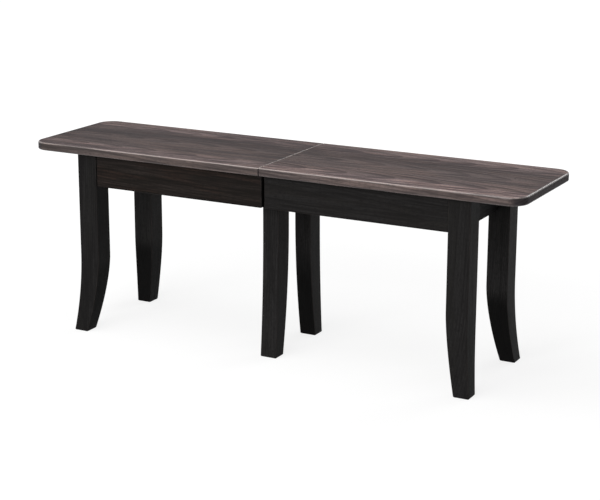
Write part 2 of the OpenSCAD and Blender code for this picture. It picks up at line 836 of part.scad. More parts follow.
seat_panel(-1);  // left_seat_panel
seat_panel(1);  // right_seat_panel
long_apron(-1, -1);  // left_front_apron
long_apron(-1, 1);  // left_back_apron
end_apron(-1);  // left_end_apron
long_apron(1, -1);  // right_front_apron
long_apron(1, 1);  // right_back_apron
end_apron(1);  // right_end_apron
corner_leg(-1, -1);  // left_front_leg
corner_leg(-1, 1);  // left_back_leg
corner_leg(1, -1);  // right_front_leg
corner_leg(1, 1);  // right_back_leg
corner_blocks(-1);  // left_corner_blocks
corner_blocks(1);  // right_corner_blocks
cleats(-1);  // left_cleats
cleats(1);  // right_cleats
hanger_bolts(-1);  // left_hanger_bolts
hanger_bolts(1);  // right_hanger_bolts
hanger_washers(-1);  // left_hanger_washers
hanger_washers(1);  // right_hanger_washers
hanger_nuts(-1);  // left_hanger_nuts
hanger_nuts(1);  // right_hanger_nuts
block_screws(-1);  // left_block_screws
block_screws(1);  // right_block_screws
cleat_screws(-1);  // left_cleat_screws
cleat_screws(1);  // right_cleat_screws
color(slide_color) turned_to(-1) slide_runner();  // left_slide_runner
color(slide_color) turned_to(1) slide_runner();  // right_slide_runner
runner_screws(-1);  // left_runner_screws
runner_screws(1);  // right_runner_screws
color(steel_color) turned_to(-1) rack();  // left_rack
color(steel_color) turned_to(1) rack();  // right_rack
table_pins();
latch_plates();
latch_plate_screws();
latch_lever(-1);  // front_latch_lever
latch_lever(1);  // back_latch_lever
latch_keepers();
latch_keeper_screws();
centre_leg(-1);  // centre_front_leg
centre_leg(1);  // centre_back_leg
cross_rail(-1);  // left_cross_rail
cross_rail(1);  // right_cross_rail
cradle_bolts();
cradle_washers();
cradle_nuts();
centre_runner();
centre_runner_screws();
stop_pins();
pinion();
pinion_axle();
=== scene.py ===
import math

import bmesh
import bpy
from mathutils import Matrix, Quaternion, Vector


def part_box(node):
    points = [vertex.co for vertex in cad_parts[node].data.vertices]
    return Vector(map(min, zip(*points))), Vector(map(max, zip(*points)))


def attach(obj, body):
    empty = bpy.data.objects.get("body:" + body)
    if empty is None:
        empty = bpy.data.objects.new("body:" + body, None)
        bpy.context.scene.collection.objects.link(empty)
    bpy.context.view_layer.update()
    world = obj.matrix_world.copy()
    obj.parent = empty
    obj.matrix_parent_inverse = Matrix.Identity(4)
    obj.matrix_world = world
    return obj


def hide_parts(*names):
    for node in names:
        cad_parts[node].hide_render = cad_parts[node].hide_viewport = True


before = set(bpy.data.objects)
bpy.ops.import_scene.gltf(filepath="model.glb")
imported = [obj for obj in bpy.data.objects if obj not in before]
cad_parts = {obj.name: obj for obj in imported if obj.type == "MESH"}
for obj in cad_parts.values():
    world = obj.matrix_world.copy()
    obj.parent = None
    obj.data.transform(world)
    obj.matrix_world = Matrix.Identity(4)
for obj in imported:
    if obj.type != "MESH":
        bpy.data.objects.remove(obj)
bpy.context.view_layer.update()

scene = bpy.context.scene
scene.view_settings.view_transform = "Standard"

# The photograph's viewpoint: a long lens at chest height, to the right of the bench's front.
# It was found by fitting the bench's edges and feet to the picture.
camera_turn, camera_rise, camera_roll = (math.radians(angle) for angle in (28.10, 15.18, 0.15))
camera_distance = 3.73206
looked_at = Vector((0.02054, 0.0, 0.22813))
towards_camera = Vector((
    math.sin(camera_turn) * math.cos(camera_rise),
    -math.cos(camera_turn) * math.cos(camera_rise),
    math.sin(camera_rise),
))
camera = bpy.data.objects.new("camera", bpy.data.cameras.new("camera"))
camera.data.sensor_width, camera.data.lens = 36.0, 98.07
camera.location = looked_at + towards_camera * camera_distance
camera.rotation_mode = "QUATERNION"
camera.rotation_quaternion = towards_camera.to_track_quat("Z", "Y") @ Quaternion((0, 0, 1), camera_roll)
scene.collection.objects.link(camera)
scene.camera = camera


# The room: a white cove with a large softbox in front, a low one under it, one overhead and one behind
# for the rims. The bench stands on the cove's floor, which shows its faint shadow.
def add_node(tree, kind, values=None, **settings):
    """Adds a node; a value from the tree is linked, any other is set on the input of that name or number."""
    node = tree.nodes.new(kind)
    for key, value in settings.items():
        setattr(node, key, value)
    for key, value in (values or {}).items():
        if isinstance(value, Value):
            tree.links.new(value.socket, node.inputs[key])
        else:
            node.inputs[key].default_value = value
    return node


def make(tree, kind, values=None, output=0, **settings):
    """Adds a node and gives one of its results."""
    return Value(tree, add_node(tree, kind, values, **settings).outputs[output])


def sign(operation, swapped=False):
    """What a sign of arithmetic does with a value: it adds the node that works the sum out."""
    def reckon(value, other):
        terms = (other, value) if swapped else (value, other)
        has_vector = any(isinstance(term, tuple) or getattr(term, "is_vector", False) for term in terms)
        kind = "ShaderNodeVectorMath" if has_vector else "ShaderNodeMath"
        return make(value.tree, kind, {0: terms[0], 1: terms[1]}, operation=operation)
    return reckon


class Value:
    """A result inside a node tree, which is reckoned with like a number."""

    def __init__(self, tree, socket):
        self.tree = tree
        self.socket = socket
        self.is_vector = socket.type == "VECTOR"

    def math(self, operation, other=0.0):
        """One of the Math node's operations that have no sign."""
        return make(self.tree, "ShaderNodeMath", {0: self, 1: other}, operation=operation)

    def parts(self):
        """Its x, y and z."""
        split = add_node(self.tree, "ShaderNodeSeparateXYZ", {0: self})
        return [Value(self.tree, part) for part in split.outputs]

    __add__ = sign("ADD")
    __sub__ = sign("SUBTRACT")
    __rsub__ = sign("SUBTRACT", swapped=True)
    __mul__ = sign("MULTIPLY")
    __truediv__ = sign("DIVIDE")
    __pow__ = sign("POWER")


def seen_directly(tree):
    """1 where the camera, a mirror or glass looks at the surface, and 0 where it only lights the bench."""
    camera_ray, gloss_ray, glass_ray = (make(tree, "ShaderNodeLightPath", output=f"Is {kind} Ray")
                                        for kind in ("Camera", "Glossy", "Transmission"))
    return camera_ray.math("MAXIMUM", gloss_ray).math("MAXIMUM", glass_ray)


def blank_material(name):
    paint = bpy.data.materials.new(name)
    paint.use_nodes = True
    paint.node_tree.nodes.clear()
    return paint


white = (1, 1, 1, 1)
ambient = 0.24
world = bpy.data.worlds.new("cove")
world.use_nodes = True
world.node_tree.nodes.clear()
scene.world = world
background = make(world.node_tree, "ShaderNodeBackground", {
    "Color": white, "Strength": seen_directly(world.node_tree) * (1.0 - ambient) + ambient})
add_node(world.node_tree, "ShaderNodeOutputWorld", {"Surface": background})

floor_reach, floor_grey = 20, 0.25
corners = [(x * floor_reach, y * floor_reach, 0) for x, y in ((-1, -1), (1, -1), (1, 1), (-1, 1))]
floor_mesh = bpy.data.meshes.new("floor")
floor_mesh.from_pydata(corners, [], [(0, 1, 2, 3)])
floor = bpy.data.objects.new("floor", floor_mesh)
scene.collection.objects.link(floor)
floor_paint = blank_material("floor_paint")
tree = floor_paint.node_tree
matt = make(tree, "ShaderNodeBsdfDiffuse", {"Color": (floor_grey, floor_grey, floor_grey, 1)})
away = make(tree, "ShaderNodeVectorMath", {0: make(tree, "ShaderNodeTexCoord", output="Object")},
            output="Value", operation="LENGTH")
paleness = make(tree, "ShaderNodeMapRange", {
    "Value": away, "From Min": 0.6, "From Max": 2.5, "To Min": 0.81, "To Max": 1.0})
glow = make(tree, "ShaderNodeEmission", {"Color": white, "Strength": seen_directly(tree) * paleness})
top_side = make(tree, "ShaderNodeAddShader", {0: matt, 1: glow})
under_side = make(tree, "ShaderNodeBsdfTransparent")
both_sides = make(tree, "ShaderNodeMixShader", {
    0: make(tree, "ShaderNodeNewGeometry", output="Backfacing"), 1: top_side, 2: under_side})
add_node(tree, "ShaderNodeOutputMaterial", {"Surface": both_sides})
floor_mesh.materials.append(floor_paint)


def softbox(name, place, aim, width, depth, power):
    lamp = bpy.data.lights.new(name, "AREA")
    lamp.shape = "RECTANGLE"
    lamp.size, lamp.size_y, lamp.energy = width, depth, power
    holder = bpy.data.objects.new(name, lamp)
    holder.location = place
    holder.rotation_mode = "QUATERNION"
    holder.rotation_quaternion = (Vector(place) - Vector(aim)).to_track_quat("Z", "Y")
    holder.visible_camera = False
    scene.collection.objects.link(holder)


softbox("key", place=(-0.3, -3.2, 1.9), aim=(0.1, 0, 0.3), width=2.4, depth=1.6, power=60)
softbox("low_front", place=(0.2, -3.6, 0.45), aim=(0, 0, 0.25), width=2.4, depth=0.7, power=42)
softbox("overhead", place=(-0.9, -0.5, 2.3), aim=(0, 0, 0.4), width=1.6, depth=0.8, power=20)
softbox("rim", place=(1.3, 2.9, 2.0), aim=(0.4, 0, 0.4), width=1.8, depth=0.9, power=27)


# The seat: two plank panels, 18.5 mm thick, that meet in a seam at the middle. Each is glued up from three
# boards, rounded at its outer corners and along its edges, and stained grey-brown.
panel_low, panel_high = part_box("right_seat_panel")
seam, seat_underside = panel_low.x, panel_low.z
half_length, half_depth, seat_top = panel_high
corner_radius, corner_steps = 0.038, 22
top_round, bottom_round, seam_ease = 0.003, 0.0025, 0.0015
board_width = 0.105
pin_y, pin_hole_radius, pin_hole_depth = 0.072, 0.0041, 0.0144
hair = 1e-5


def srgb(red, green, blue):
    """A colour as it is seen, 0 to 255, in the linear values that a shader takes."""
    return tuple(
        c / 255 / 12.92 if c <= 10.3 else ((c / 255 + 0.055) / 1.055) ** 2.4 for c in (red, green, blue)
    ) + (1.0,)


def add_piece(name, mesh):
    piece = bpy.data.objects.new(name, mesh)
    scene.collection.objects.link(piece)
    return piece


def mesh_of(name, shape):
    """Turns a bmesh into a smooth-shaded mesh whose faces point outwards."""
    bmesh.ops.recalc_face_normals(shape, faces=shape.faces)
    mesh = bpy.data.meshes.new(name)
    shape.to_mesh(mesh)
    shape.free()
    for face in mesh.polygons:
        face.use_smooth = True
    return mesh


def keep_faces_flat(piece):
    piece.modifiers.new("flat_faces", "WEIGHTED_NORMAL").keep_sharp = True


def ease_edges(piece, width, steps):
    """Rounds a piece's sharp edges as sandpaper does, and keeps its flat faces flat in the shading."""
    bevel = piece.modifiers.new("eased", "BEVEL")
    bevel.width, bevel.segments = width, steps
    bevel.limit_method = "ANGLE"
    bevel.angle_limit = math.radians(40)
    keep_faces_flat(piece)


def seat_panel(side):
    """One half of the seat; the right one has the holes that the table pins enter.
    Its faces have material 0, its rounded edges material 1, and the flatter faces of its eased edge at the
    seam material 2, whose near-white edge colour is a painted highlight."""
    holes = (pin_y, -pin_y) if side > 0 else ()
    outline = []
    for start, centre_y in ((-90, corner_radius - half_depth), (0, half_depth - corner_radius)):
        for step in range(corner_steps + 1):
            angle = math.radians(start + 90 * step / corner_steps)
            outline.append((half_length - corner_radius + corner_radius * math.cos(angle),
                            centre_y + corner_radius * math.sin(angle)))
    outside = len(outline)
    hole_room = 2 * pin_hole_radius
    seam_ys = [half_depth] + [y + d for y in holes for d in (hole_room, 0, -hole_room)] + [-half_depth]
    outline += [(seam, y) for y in seam_ys]
    shape = bmesh.new()
    lower, upper = ([shape.verts.new((side * x, y, z)) for x, y in outline]
                    for z in (seat_underside, seat_top))
    shape.faces.new(lower)
    shape.faces.new(upper)
    for i in range(-1, outside):
        shape.faces.new((lower[i], lower[i + 1], upper[i + 1], upper[i]))

    # Each hole is a ring of points; the seam face meets it in two halves, split above and below its middle.
    ring, pin_z = 32, (seat_top + seat_underside) / 2
    turns = [math.tau * i / ring for i in range(ring)]
    rims = {}
    for y in holes:
        circle = [(y + pin_hole_radius * math.cos(a), pin_z + pin_hole_radius * math.sin(a)) for a in turns]
        rim, end_rim = ([shape.verts.new((x, *point)) for point in circle]
                        for x in (seam, seam + pin_hole_depth))
        for i in range(ring):
            shape.faces.new((rim[i - 1], rim[i], end_rim[i], end_rim[i - 1]))
        shape.faces.new(end_rim)
        rims[y] = rim
    top_point, bottom_point = ring // 4, 3 * ring // 4
    for i, (y, next_y) in enumerate(zip(seam_ys, seam_ys[1:]), start=outside):
        up, down = [], []
        if next_y in rims:
            up = [rims[next_y][k % ring] for k in range(bottom_point, ring + top_point + 1)]
        if y in rims:
            down = rims[y][top_point:bottom_point + 1]
        shape.faces.new([lower[i], lower[i + 1], *up, upper[i + 1], upper[i], *down])
    bmesh.ops.recalc_face_normals(shape, faces=shape.faces)

    def on_seam(item):
        return all(abs(v.co.x) < seam + hair for v in item.verts)

    for level, width in ((seat_top, top_round), (seat_underside, bottom_round)):
        rounded = [e for e in shape.edges
                   if all(abs(v.co.z - level) < hair for v in e.verts) and not on_seam(e)]
        bmesh.ops.bevel(shape, geom=rounded, offset=width, offset_type="OFFSET", segments=5, profile=0.5,
                        affect="EDGES", material=1)
    rim_points = {v for rim in rims.values() for v in rim}
    around = [e for e in shape.edges if sum(on_seam(f) for f in e.link_faces) == 1
              and not rim_points.issuperset(e.verts)]
    eased = bmesh.ops.bevel(shape, geom=around, offset=seam_ease, offset_type="OFFSET", segments=2,
                            profile=0.5, affect="EDGES", material=2)["faces"]
    for face in eased:
        if abs(face.normal.z) < 0.5:
            face.material_index = 0
    mesh = mesh_of(f"{'left' if side < 0 else 'right'}_seat", shape)
    panel = add_piece(mesh.name, mesh)
    keep_faces_flat(panel)
    return panel


def along_grain(tree, axis, shift=(0, 0, 0)):
    """Object coordinates turned so that X runs along the grain, moved to a stretch of wood of its own."""
    place = make(tree, "ShaderNodeTexCoord", output="Object")
    turn = {"X": (0, 0, 0), "Y": (0, 0, math.radians(90)), "Z": (0, math.radians(90), 0)}[axis]
    return make(tree, "ShaderNodeMapping", {"Vector": place, "Location": shift, "Rotation": turn})


def stretched_noise(place, length, width, detail=3.0, rough=0.55, distortion=0.0):
    """Noise whose grains are about length metres long and width metres wide."""
    return make(place.tree, "ShaderNodeTexNoise", {
        "Vector": place * (1 / length, 1 / width, 1 / width), "Scale": 1.0, "Detail": detail,
        "Roughness": rough, "Distortion": distortion}, output="Fac")


def remap(value, low, high, to_low=0.0, to_high=1.0):
    """A smooth step from to_low, where the value is low, to to_high, where it is high."""
    return make(value.tree, "ShaderNodeMapRange", {
        "Value": value, "From Min": low, "From Max": high, "To Min": to_low, "To Max": to_high},
        interpolation_type="SMOOTHSTEP")


def tree_of(*values):
    return next(value.tree for value in values if isinstance(value, Value))


def mix_colour(share, first, second, blend="MIX"):
    return make(tree_of(share, first, second), "ShaderNodeMix", {0: share, 6: first, 7: second}, output=2,
                data_type="RGBA", blend_type=blend)


def combine(x, y, z):
    return make(tree_of(x, y, z), "ShaderNodeCombineXYZ", {0: x, 1: y, 2: z})


def surface_direction(tree):
    return make(tree, "ShaderNodeTexCoord", output="Normal")


def looking_up(tree, low, high):
    """A smooth step, by how far the surface's direction rises, from 0 at low to 1 at high."""
    return remap(surface_direction(tree).parts()[2], low, high)


def lean(tree):
    """How far the surface's direction reaches along each axis, whichever way it points."""
    return make(tree, "ShaderNodeVectorMath", {0: surface_direction(tree)}, operation="ABSOLUTE").parts()


def facing_along(tree, axis, low, high):
    """1 where the surface looks along an axis, as end grain does, and 0 elsewhere."""
    return remap(lean(tree)["XYZ".index(axis)], low, high)


def rounded_edge(tree, upper_only=False):
    """1 on rounded edges and 0 on faces square to the axes."""
    x, y, z = lean(tree)
    edge = remap(x.math("MAXIMUM", y).math("MAXIMUM", z), 0.97, 0.80)
    return edge * looking_up(tree, 0.15, 0.4) if upper_only else edge


pith_slope, ring_wander = 0.06, 0.010


def growth_rings(grain, axis, pith, ring_width, board):
    """0 to 1 across each year's ring of a log, whose pith runs along the grain, a little askew."""
    along, across, up = along_grain(grain.tree, axis).parts()
    across = across - pith[0]
    if board:
        across = across - board * board_width
    rise = up - pith[1] + along * pith_slope
    from_pith = make(grain.tree, "ShaderNodeVectorMath", {0: combine(across, rise, 0.0)},
                     output="Value", operation="LENGTH")
    wander = stretched_noise(grain, length=0.60, width=0.16) * ring_wander
    return ((from_pith + wander) / ring_width).math("FRACT")


next_log_along, next_log_up = 3.7, 0.9
front_margin, back_margin = (-0.085, -0.120), (0.050, 0.120)
middle_fading, margin_fading = -0.25, 0.5
edge_stain, edge_evenness = srgb(80, 75, 72), 0.45


def stain_and_light_boards(colour, x, y, board, shades):
    """Each board of the seat took the stain in its own way, and the board tones and the outward term also
    paint a light gradient across the top, brightest at the right panel's outer front. The stain is rubbed
    thin along the top's two long margins and darkest in the middle, and the boards' long edges took it more
    evenly than their faces."""
    tree = colour.tree
    front, middle, back, outwards = shades
    # Board tones and outward paling: partly the boards' own tone, partly a painted light gradient
    ahead = board.math("MINIMUM", 0.0) * (middle - front)
    behind = board.math("MAXIMUM", 0.0) * (back - middle)
    shade = ahead + behind + middle + x.math("ABSOLUTE") * outwards
    margins = remap(y, *front_margin) + remap(y, *back_margin)
    faded = remap(margins, 0.0, 1.0, middle_fading, margin_fading) * looking_up(tree, 0.3, 0.8)
    shade = shade * (faded + 1.0)
    colour = mix_colour(1.0, colour, combine(shade, shade, shade), "MULTIPLY")
    return mix_colour(facing_along(tree, "Y", 0.3, 0.8) * edge_evenness, colour, edge_stain)


def wood(name, axis, shift, pith, colours, rough, specular, streak_size, ring_width=0.004, figure=0.35,
         wear_and_glint=0.7, relief_depth=0.0003, board_shades=None, painted_down_shade=0.0):
    """Stained or plain wood, with rings, long streaks, fibres and pores along the axis, end grain, and paler
    edges that are rubbed wear, and on the seat partly a painted highlight. The pith is placed across the
    grain and upwards, and figure is how strongly the rings show. The last argument is how much darker faces
    that
    look down are painted: painted shade."""
    dark, light, warm, pore, end, edge_tint = (srgb(*colour) for colour in colours)
    streak_length, streak_width = streak_size
    paint = blank_material(name)
    tree = paint.node_tree
    grain = along_grain(tree, axis, shift)
    board = None
    if board_shades:
        x, y, _ = make(tree, "ShaderNodeTexCoord", output="Object").parts()
        board = (y / board_width).math("ROUND")
        grain = grain + combine(board * next_log_along, 0.0, board * next_log_up)
    ring = growth_rings(grain, axis, pith, ring_width, board)
    late = remap(ring, 0.30, 0.90) * remap(ring, 1.0, 0.92)
    broad = stretched_noise(grain, length=0.60, width=0.060, detail=2.0, distortion=0.3)
    streak = stretched_noise(grain, streak_length, streak_width, detail=4.0, rough=0.62, distortion=0.2)
    fleck = stretched_noise(grain, streak_length * 0.5, streak_width * 0.4, detail=2.0)
    fibre = stretched_noise(grain, length=0.040, width=0.0012, rough=0.7)
    pores = stretched_noise(grain, length=0.011, width=0.0005, detail=1.0)
    hue = stretched_noise(grain, length=0.20, width=0.022)

    # Each layer goes over the last: streaks, their warmer parts, rings, fibres and open pores
    tone = remap(broad * 0.3 + streak * 0.45 + fleck * 0.25 - late * 0.05, 0.39, 0.58)
    colour = mix_colour(tone, dark, light)
    colour = mix_colour(remap(hue, 0.46, 0.60, 0.0, 0.75), colour, mix_colour(tone, dark, warm))
    colour = mix_colour(late * figure, colour, pore)
    colour = mix_colour(remap(fibre, 0.50, 0.64, 0.0, 0.4), colour, pore)
    open_pores = remap(pores - late * 0.06, 0.56, 0.60)
    colour = mix_colour(open_pores * 0.75, colour, pore)
    if board_shades:
        colour = stain_and_light_boards(colour, x, y, board, board_shades)

    # The cut ends drink more stain, faces that look down are darkened as painted shade, and the edges are
    # rubbed pale, which on the seat is partly a painted highlight
    end_grain = mix_colour(late * 0.5, end, pore)
    end_grain = mix_colour(remap(pores, 0.50, 0.58, 0.0, 0.6), end_grain, pore)
    colour = mix_colour(facing_along(tree, axis, 0.12, 0.6) * 0.85, colour, end_grain)
    if painted_down_shade:
        colour = mix_colour(looking_up(tree, -0.03, -0.11) * painted_down_shade, colour, (0, 0, 0, 1))
    rubbed_and_glint = remap(streak, 0.35, 0.6, 0.4 * wear_and_glint, wear_and_glint)
    colour = mix_colour(rounded_edge(tree, upper_only=bool(board_shades)) * rubbed_and_glint, colour, edge_tint)

    relief = fibre * 0.6 - open_pores + late * 0.3
    bump = make(tree, "ShaderNodeBump", {"Strength": 0.35, "Distance": relief_depth, "Height": relief})
    skin = make(tree, "ShaderNodeBsdfPrincipled", {
        "Base Color": colour, "Roughness": remap(streak, 0.3, 0.7, *rough),
        "Specular IOR Level": specular, "Normal": bump})
    add_node(tree, "ShaderNodeOutputMaterial", {"Surface": skin})
    return paint


# A wood's colours are those of its dark, light and warm streaks, pores, end grain and pale edges.
# The seat's pale edge is partly rubbed wear and partly a painted highlight.
grey_brown = ((56, 45, 46), (123, 108, 106), (139, 118, 112), (42, 34, 36), (50, 50, 53), (184, 168, 162))
# The seam's eased edge takes a near-white edge colour: a painted highlight.
seam_highlight = grey_brown[:-1] + ((232, 220, 212),)
pith_below_top = 0.060
# A panel's shades are those of its front, middle and back board, and how much paler it gets a metre outwards.
# Besides the boards' own tones, they paint the fall of light across the top, brightest at the right front.
for side, word, shift, shades in ((-1, "left", (8.8, 2.4, 0.7), (0.80, 0.79, 0.79, -0.04)),
                                  (1, "right", (24.7, 5.2, 3.9), (1.06, 0.81, 0.76, 0.38))):
    panel = seat_panel(side)
    for part, colours, rough, specular, relief_depth, wear_and_glint in (
            ("face", grey_brown, (0.52, 0.64), 0.06, 0.0003, 0.7),
            ("edge", grey_brown, (0.22, 0.32), 0.45, 0.00006, 0.6),
            ("seam", seam_highlight, (0.24, 0.34), 0.5, 0.00006, 1.2)):
        panel.data.materials.append(wood(
            f"{word}_seat_{part}", "X", shift, (0.0, seat_top - pith_below_top), colours, rough, specular,
            streak_size=(0.17, 0.010), ring_width=0.006, figure=0.38, wear_and_glint=wear_and_glint, relief_depth=relief_depth,
            board_shades=shades))
    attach(panel, f"{word}_half")
    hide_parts(f"{word}_seat_panel")


# The four corner legs: sabre legs sawn from 50 mm square stock, straight above and swept outwards below,
# stained nearly black. They are mortised for the aprons and drawn tight by a hanger bolt each.
def shape_tree(name, sizes, result):
    """A Geometry Nodes tree with named inputs, and the dictionary of those inputs."""
    tree = bpy.data.node_groups.new(name, "GeometryNodeTree")
    for label, kind in sizes.items():
        tree.interface.new_socket(label, in_out="INPUT", socket_type=f"NodeSocket{kind}")
    tree.interface.new_socket(result, in_out="OUTPUT", socket_type="NodeSocketGeometry")
    entry = add_node(tree, "NodeGroupInput")
    return tree, {label: Value(tree, entry.outputs[label]) for label in sizes}


def end_tree(geometry, material):
    """Makes instances real, gives them their material and closes the tree."""
    tree = geometry.tree
    geometry = make(tree, "GeometryNodeRealizeInstances", {0: geometry})
    geometry = make(tree, "GeometryNodeSetMaterial", {"Geometry": geometry, "Material": material})
    add_node(tree, "NodeGroupOutput", {0: geometry})


leg_tree, given = shape_tree("sabre_leg", {
    **dict.fromkeys(("Height", "Width x", "Width y", "Outer x", "Outer y", "Sweep x", "Sweep y", "Taper x",
                     "Taper y", "Outer bend", "Inner bend", "Inner power", "Edge radius", "Side", "End"),
                    "Float"),
    "Levels": "Int", "Material": "Material"}, "Leg")

# A straight square stick with eased corners, and a foot whose lower edge is eased too
spine = make(leg_tree, "GeometryNodeCurvePrimitiveLine", {
    "Start": combine(0.0, 0.0, given["Edge radius"]), "End": combine(0.0, 0.0, given["Height"])})
spine = make(leg_tree, "GeometryNodeResampleCurve", {"Curve": spine, "Count": given["Levels"]})
section = make(leg_tree, "GeometryNodeCurvePrimitiveQuadrilateral", {
    "Width": given["Width x"], "Height": given["Width x"]})
section = make(leg_tree, "GeometryNodeFilletCurve", {
    "Curve": section, "Radius": given["Edge radius"], "Count": 4}, mode="POLY")
stick = make(leg_tree, "GeometryNodeCurveToMesh", {
    "Curve": spine, "Profile Curve": section, "Fill Caps": True})
underneath = make(leg_tree, "GeometryNodeInputNormal").parts()[2].math("LESS_THAN", -0.9)
foot = add_node(leg_tree, "GeometryNodeExtrudeMesh", {
    "Mesh": stick, "Selection": underneath, "Offset Scale": given["Edge radius"]}, mode="FACES")
foot = make(leg_tree, "GeometryNodeScaleElements", {
    "Geometry": Value(leg_tree, foot.outputs["Mesh"]), "Selection": Value(leg_tree, foot.outputs["Top"]),
    "Scale": (given["Width x"] - given["Edge radius"] * 2.0) / given["Width x"]}, domain="FACE")

# The stick is bent: its outer faces sweep out below one bend, and its inner faces follow below another
here = make(leg_tree, "GeometryNodeInputPosition")
height = here.parts()[2]
below_outer = ((given["Outer bend"] - height) / given["Outer bend"]).math("MAXIMUM", 0.0)
below_inner = ((given["Inner bend"] - height) / given["Inner bend"]).math("MAXIMUM", 0.0)
swept = combine(given["Sweep x"], given["Sweep y"], 0.0) * below_outer ** 2.0
tapered = combine(given["Taper x"], given["Taper y"], 0.0) * below_inner ** given["Inner power"]
width = combine(given["Width x"], given["Width y"], 1.0)
outer = combine(given["Outer x"], given["Outer y"], 0.0)
inner = outer - width + tapered
share = here / combine(given["Width x"], given["Width x"], 1.0) + (0.5, 0.5, 0.0)
bent = (inner + share * (width + swept - tapered)) * combine(given["Side"], given["End"], 0.0)
bent = bent + combine(0.0, 0.0, height)
leg = make(leg_tree, "GeometryNodeSetPosition", {"Geometry": foot, "Position": bent})
end_tree(leg, given["Material"])


def grow(name, tree, sizes, seed_mesh=None):
    """Runs a node tree with the given sizes and keeps what it makes as a plain, smooth-shaded mesh."""
    piece = add_piece(name, seed_mesh or bpy.data.meshes.new(name))
    modifier = piece.modifiers.new("shape", "NODES")
    modifier.node_group = tree
    for item in tree.interface.items_tree:
        if item.in_out == "INPUT" and item.name in sizes:
            modifier[item.identifier] = sizes[item.name]
    bpy.context.view_layer.update()
    mesh = bpy.data.meshes.new_from_object(piece.evaluated_get(bpy.context.evaluated_depsgraph_get()))
    piece.modifiers.remove(modifier)
    piece.data = mesh
    shape = bmesh.new()
    shape.from_mesh(mesh)
    bmesh.ops.recalc_face_normals(shape, faces=shape.faces)
    shape.to_mesh(mesh)
    shape.free()
    for face in mesh.polygons:
        face.use_smooth = True
    mesh.set_sharp_from_angle(angle=math.radians(38))
    return piece


def black_stain(name, axis, shift, pith, brown=0.0, painted_lift=0):
    """Near-black stained hardwood; brown is how much warmth shows, and the last argument how much lighter it
    is painted, as painted light on legs that the seat shades.
    """
    dark = (29 + painted_lift, 28 - 2 * brown + painted_lift, 28 - 4 * brown + painted_lift)
    light = (40 + 7 * brown + painted_lift, 39 + 3 * brown + painted_lift, 39 + brown + painted_lift)
    warm = (36 + 14 * brown + painted_lift, 35 + 5 * brown + painted_lift, 34 + 2 * brown + painted_lift)
    pore, end, edge_tint = (20, 19, 19), (22, 22, 22), (60, 56, 54)
    return wood(name, axis, shift, pith, (dark, light, warm, pore, end, edge_tint), rough=(0.45, 0.58),
                specular=0.025, streak_size=(0.16, 0.007), figure=0.25, painted_down_shade=0.7)


leg_low, leg_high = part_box("right_back_leg")
leg_size, foot_sweep, foot_taper = 0.050, 0.014, 0.028
for side, word in ((-1, "left"), (1, "right")):
    for end, place in ((-1, "front"), (1, "back")):
        # The back legs are painted lighter, as painted light where the seat shades them.
        paint = black_stain(f"{word}_{place}_leg_stain", "Z", shift=(0.3 * side, 0.9 * end, 0.5 * side * end),
                            pith=(0.05 * end, -0.40 * side), painted_lift=11 if end > 0 else 0)
        leg = grow(f"{word}_{place}_sabre_leg", leg_tree, {
            "Height": leg_high.z, "Width x": leg_size, "Width y": leg_size,
            "Outer x": leg_low.x + leg_size, "Outer y": leg_low.y + leg_size,
            "Sweep x": foot_sweep, "Sweep y": foot_sweep, "Taper x": foot_taper, "Taper y": foot_taper,
            "Outer bend": 0.190, "Inner bend": 0.180, "Inner power": 1.6, "Edge radius": 0.0018,
            "Side": side, "End": end, "Levels": 56, "Material": paint})
        keep_faces_flat(leg)
        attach(leg, f"{word}_half")
        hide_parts(f"{word}_{place}_leg")


# The two centre legs stand on their own under the seam and stay there when the bench is drawn out.
# They are 40 mm wide, swept only to the front and the back, and carry the slide between the cross rails.
centre_low, centre_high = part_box("centre_back_leg")
centre_depth = 0.050
for end, place in ((-1, "front"), (1, "back")):
    # The centre legs are painted lighter, the back one most, as painted light where the seat shades them.
    paint = black_stain(f"centre_{place}_leg_stain", "Z", shift=(1.3, 0.4 * end, 0.2),
                        pith=(0.02 * end, -0.06), painted_lift=12 if end > 0 else 4)
    leg = grow(f"centre_{place}_sabre_leg", leg_tree, {
        "Height": centre_high.z, "Width x": centre_high.x - centre_low.x, "Width y": centre_depth,
        "Outer x": centre_high.x, "Outer y": centre_low.y + centre_depth,
        "Sweep x": 0.0, "Sweep y": 0.013, "Taper x": 0.0, "Taper y": 0.028, "Outer bend": 0.300,
        "Inner bend": 0.300, "Inner power": 2.0, "Edge radius": 0.0015, "Side": 1.0, "End": end,
        "Levels": 50, "Material": paint})
    keep_faces_flat(leg)
    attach(leg, "centre_frame")
    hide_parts(f"centre_{place}_leg")


# The aprons: stained boards 19 mm thick and 76 mm high, with rounded edges and a tenon into each leg.
# The long ones end a few millimetres from the seam; the end ones sit well back, near the legs' inner faces.
def add_box(shape, low, high):
    for vert in bmesh.ops.create_cube(shape, size=1.0)["verts"]:
        vert.co = Vector([low[i] if vert.co[i] < 0 else high[i] for i in range(3)])


def apron(name, boxes):
    """A board with its tenons; each box is the two ends of its reach along x, y and z, in either order."""
    shape = bmesh.new()
    for reach in boxes:
        low, high = zip(*(sorted(ends) for ends in reach))
        add_box(shape, low, high)
    piece = add_piece(name, mesh_of(name, shape))
    ease_edges(piece, apron_round, steps=4)
    return piece


